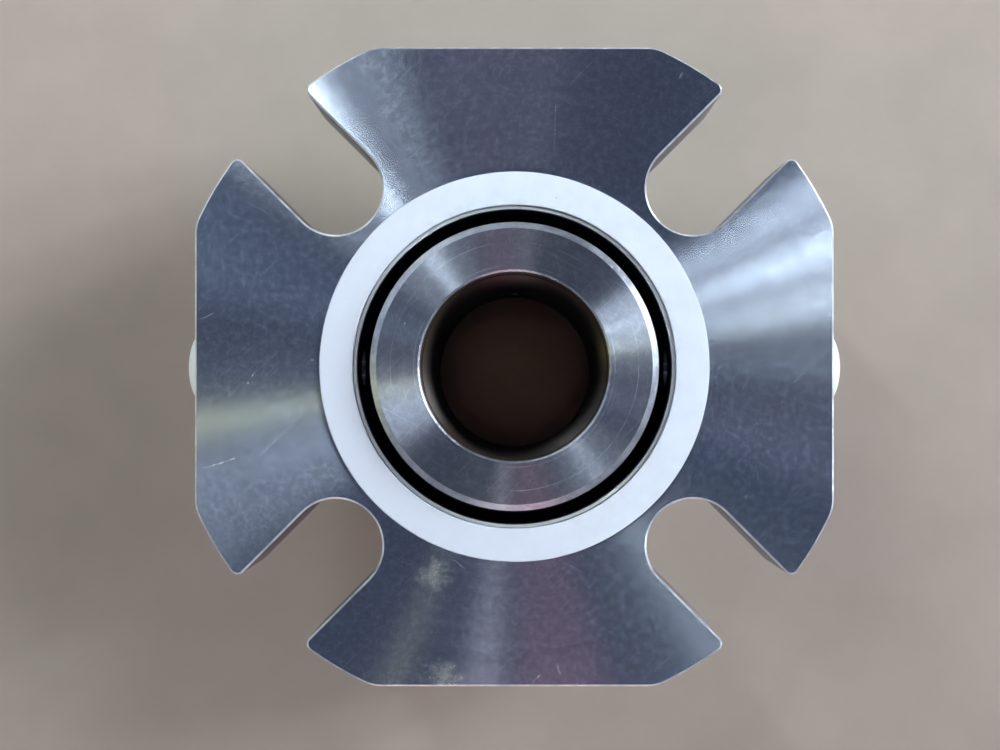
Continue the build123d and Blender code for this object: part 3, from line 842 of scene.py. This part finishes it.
def make_clip_screws():
    """Socket head cap screws with knurled heads."""
    for number in (1, 2, 3):
        node = f"clip_screw_{number}"
        low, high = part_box(node)
        head_r = (high.x - low.x) / 2
        shank = high.z - low.z - CLIP_SCREW_HEAD

        def knurled(turn, height, r=head_r):
            return r - KNURL_DEPTH * abs(math.sin(turn * KNURLS / 2)) ** KNURL_ROUND

        rings = [(CLIP_SCREW_R * CLIP_SCREW_TIP_SHARE, -shank)]
        tip, neck = -shank + CLIP_SCREW_TIP, -CLIP_SCREW_NECK
        rings += thread_rings(CLIP_SCREW_R, CLIP_SCREW_PITCH, tip, neck - CLIP_SCREW_RUNOUT, 6)
        rings += [(CLIP_SCREW_R, neck), (CLIP_SCREW_R, -SEAT_HOLD), (CLIP_SCREW_R, 0)]
        rings += [(head_r - inset, height) for inset, height in CLIP_SCREW_FOOT]
        rings += [(knurled, KNURL_LOW), (knurled, KNURL_HIGH)]
        rings += [(head_r - inset, height) for inset, height in CLIP_SCREW_CROWN]
        rings += socket_rings(CLIP_SCREW_SOCKET, CLIP_SCREW_HEAD, CLIP_SCREW_SOCKET_DEPTH)
        origin = ((low.x + high.x) / 2, (low.y + high.y) / 2, low.z + CLIP_SCREW_HEAD)
        piece = loft(f"cap_screw_{number}", rings, KNURLS * KNURL_SEGMENTS, origin, (0, 0, -1))
        dress(piece, node, "gland")


SET_SCREW_PITCH = 1.0 * MM
SET_SCREW_SOCKET = 3.0 * MM
SET_SCREW_SOCKET_DEPTH = 3.0 * MM
SET_SCREW_THREAD_START = 0.9 * MM
SET_SCREW_THREAD_END = 0.6 * MM  # from its outer end
# its cup and its outer end: radii as shares of its own, and how far in from that end
SET_SCREW_CUP = ((0.45, 0.4 * MM), (0.6, 0), (0.68, 0), (0.86, 0.7 * MM))
SET_SCREW_END = ((0.86, 0.35 * MM), (0.8, 0))
SET_SCREW_SEGMENTS = 72


def make_set_screws():
    """Threaded set screws that lie radially in the collar, with a socket outwards and a cup inwards."""
    low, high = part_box("set_screw_1")
    screw_r = (high.x - low.x) / 2
    length, foot = high.y - low.y, low.y
    for number in (1, 2, 3):
        node = f"set_screw_{number}"
        corner_low, corner_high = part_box(node)
        middle = (corner_low + corner_high) / 2
        outward = Vector((middle.x, middle.y, 0)).normalized()
        rings = [(screw_r * share, height) for share, height in SET_SCREW_CUP]
        thread_end = length - SET_SCREW_THREAD_END
        rings += thread_rings(screw_r, SET_SCREW_PITCH, SET_SCREW_THREAD_START, thread_end)
        rings += [(screw_r * share, length - inset) for share, inset in SET_SCREW_END]
        rings += socket_rings(SET_SCREW_SOCKET, length, SET_SCREW_SOCKET_DEPTH)
        origin = outward * foot + Vector((0, 0, middle.z))
        piece = loft(f"grub_screw_{number}", rings, SET_SCREW_SEGMENTS, origin, outward)
        dress(piece, node, "rotor")


# ---------------------------------------------------------------- room
HORIZON = (0.74, 0.75, 0.79)
OVERHEAD = (0.085, 0.10, 0.15)
OVERHEAD_FROM = 0.6  # how high one looks to see it, from 0 at the horizon to 1 straight up
FLOOR_HALF = 3.0
FLOOR_CARD = (0.345, 0.301, 0.254)
FLOOR_PALER = (0.371, 0.323, 0.274)
FLOOR_NOISE = (60, 4, 0.6)
FLOOR_ROUGHNESS = 0.85
UNDER_BORE_LIGHT_TINT = (0.5, 0.3, 0.22)  # painted warm light: a warm brown, which shows only down the bore
FADE_START, FADE_END = 0.12, 0.8  # the distances over which the floor fades into the horizon


def make_floor():
    """A plain pale floor under the sleeve's tail, which fades into the horizon far from the object."""
    mesh = bpy.data.meshes.new("floor")
    square = ((-1, -1), (1, -1), (1, 1), (-1, 1))
    corners = [(x * FLOOR_HALF, y * FLOOR_HALF, floor_z) for x, y in square]
    mesh.from_pydata(corners, [], [(0, 1, 2, 3)])
    floor = bpy.data.objects.new("floor", mesh)
    bpy.context.scene.collection.objects.link(floor)
    t = Tree("floor_card")
    cloud = t.noise(t.place(), *FLOOR_NOISE)
    colour = t.mix(t.remap(cloud, *PLAIN_WINDOW), FLOOR_CARD, FLOOR_PALER)
    radius = t.polar()[0]
    # painted warm light on the floor under the bore
    colour = t.mix(t.remap(radius, shaft_r, shaft_r + MM, 1, 0), colour, UNDER_BORE_LIGHT_TINT)
    t.set(Base_Color=colour, Roughness=FLOOR_ROUGHNESS)
    path = t.node("LightPath").outputs
    seen = t.most(path["Is Camera Ray"], path["Is Glossy Ray"], path["Is Transmission Ray"])
    fade = {"Value": radius, "From Min": FADE_START, "From Max": FADE_END}
    away = t.node("MapRange", fade, interpolation_type="SMOOTHSTEP").outputs[0]
    glow = t.node("Emission", {"Color": HORIZON}).outputs[0]
    mixed = t.node("MixShader", {0: t.math("MULTIPLY", seen, away), 1: t.shader.outputs[0], 2: glow})
    t.feed(t.tree.nodes["Material Output"].inputs["Surface"], mixed.outputs[0])
    mesh.materials.append(t.material)


# Azimuth and tilt from the vertical in degrees, distance, width across, length, watts, colour. On the
# turned steel each low lamp shows as one radial streak, and a wider lamp makes a wider streak.
LAMPS = (
    (22, 58, 1.2, 0.06, 0.60, 0.58, (0.86, 0.94, 1.0)),
    (31, 58, 1.2, 0.10, 0.60, 0.42, (0.86, 0.94, 1.0)),
    (13, 58, 1.2, 0.10, 0.60, 0.46, (0.89, 0.96, 1.0)),
    (2, 58, 1.2, 0.10, 0.60, 0.09, (0.86, 0.94, 1.0)),
    (97, 58, 1.2, 0.35, 0.60, 0.035, (0.60, 0.85, 1.0)),
    (127, 46, 1.2, 0.05, 0.60, 0.27, (0.88, 0.96, 1.0)),
    (115, 46, 1.2, 0.12, 0.60, 0.05, (0.88, 0.96, 1.0)),
    (139, 46, 1.2, 0.12, 0.60, 0.08, (0.90, 0.96, 1.0)),
    (156, 58, 1.2, 0.35, 0.60, 0.13, (0.60, 0.80, 1.0)),
    (189, 58, 1.2, 0.012, 0.60, 0.13, (1.0, 1.0, 0.38)),
    (264, 58, 1.2, 0.10, 0.60, 0.13, (1.0, 0.88, 0.90)),
    (279, 58, 1.2, 0.30, 0.60, 0.17, (1.0, 0.46, 0.52)),
    (350, 58, 1.2, 0.35, 0.60, 0.11, (0.88, 0.84, 1.0)),
    (20, 30, 1.0, 0.02, 0.25, 0.03, (0.84, 0.93, 1.0)),
    (127, 30, 1.0, 0.02, 0.25, 0.05, (0.87, 0.96, 1.0)),
    (305, 30, 1.0, 0.02, 0.25, 0.03, (0.94, 0.97, 1.0)),
    (248, 30, 1.0, 0.01, 0.20, 0.03, (1.0, 0.98, 0.66)),
)
LOW_LAMP = 45  # a lamp that leans further than this has a grid, which keeps its light off the far floor
GRID = math.radians(45)
LOW_AIM = Vector((0.02, 0.11, 0))  # past the object's upper side, where the photograph's floor is brightest
BORE_LAMP_HEIGHT = 0.6
BORE_LAMP_SIZE = 4 * MM
BORE_LAMP_WATTS = 0.000035
BORE_LAMP_REACH = 0.9  # of the bore's radius, which the beam fills
BORE_LAMP_COLOUR = (1.0, 0.9, 0.8)


def add_lamp(name, shape, watts, colour):
    """An area lamp at the origin, shining straight down."""
    data = bpy.data.lights.new(name, "AREA")
    data.shape = shape
    data.energy = watts
    data.color = colour
    lamp = bpy.data.objects.new(name, data)
    bpy.context.scene.collection.objects.link(lamp)
    return lamp


def make_bore_lamp():
    """A small lamp straight overhead, whose narrow beam reaches down the bore to the floor."""
    lamp = add_lamp("bore_lamp", "DISK", BORE_LAMP_WATTS, BORE_LAMP_COLOUR)
    lamp.data.size = BORE_LAMP_SIZE
    lamp.data.spread = 2 * math.atan2(BORE_LAMP_REACH * shaft_r, BORE_LAMP_HEIGHT)
    lamp.location.z = BORE_LAMP_HEIGHT


def make_lamps():
    """The lamps of the table, each turned towards the object."""
    for number, (azimuth, tilt, distance, width, length, watts, colour) in enumerate(LAMPS, 1):
        lamp = add_lamp(f"lamp_{number}", "RECTANGLE", watts, colour)
        lamp.data.size, lamp.data.size_y = width, length
        aim = Vector()
        if tilt > LOW_LAMP:
            lamp.data.spread = GRID
            aim = LOW_AIM
        turn, lean = math.radians(azimuth), math.radians(tilt)
        towards = Vector((math.sin(lean) * math.cos(turn), math.sin(lean) * math.sin(turn), math.cos(lean)))
        lamp.location = towards * distance
        lamp.rotation_mode = "QUATERNION"
        lamp.rotation_quaternion = (aim - lamp.location).to_track_quat("-Z", "Y")


def make_world():
    """Pale at the horizon and darker overhead."""
    world = bpy.data.worlds.new("room")
    world.use_nodes = True
    tree = world.node_tree
    tree.nodes.clear()
    out = tree.nodes.new("ShaderNodeOutputWorld")
    back = tree.nodes.new("ShaderNodeBackground")
    coordinates = tree.nodes.new("ShaderNodeTexCoord")
    split = tree.nodes.new("ShaderNodeSeparateXYZ")
    ramp = tree.nodes.new("ShaderNodeValToRGB")
    tree.links.new(coordinates.outputs["Generated"], split.inputs[0])
    tree.links.new(split.outputs["Z"], ramp.inputs["Fac"])
    tree.links.new(ramp.outputs["Color"], back.inputs["Color"])
    tree.links.new(back.outputs[0], out.inputs[0])
    stops = ramp.color_ramp.elements
    stops[0].position, stops[0].color = 0.0, (*HORIZON, 1)
    stops[1].position, stops[1].color = OVERHEAD_FROM, (*OVERHEAD, 1)
    bpy.context.scene.world = world


# ---------------------------------------------------------------- the scene
def dress_nodes():
    """Gives each CAD node the material of its record slot."""
    for name, node in frame["nodes"].items():
        node.data.materials.clear()
        node.data.materials.append(materials[slots[name]])


make_camera()
make_world()
make_lamps()
make_bore_lamp()
make_floor()
materials = make_materials()
slots = {row["node"]: row["material_slot"] for row in frame["record"]["subparts"]}
dress_nodes()
make_gasket()
make_wave_spring()
make_port_plugs()
make_clip_screws()
make_set_screws()

bpy.context.scene.view_settings.view_transform = "Standard"
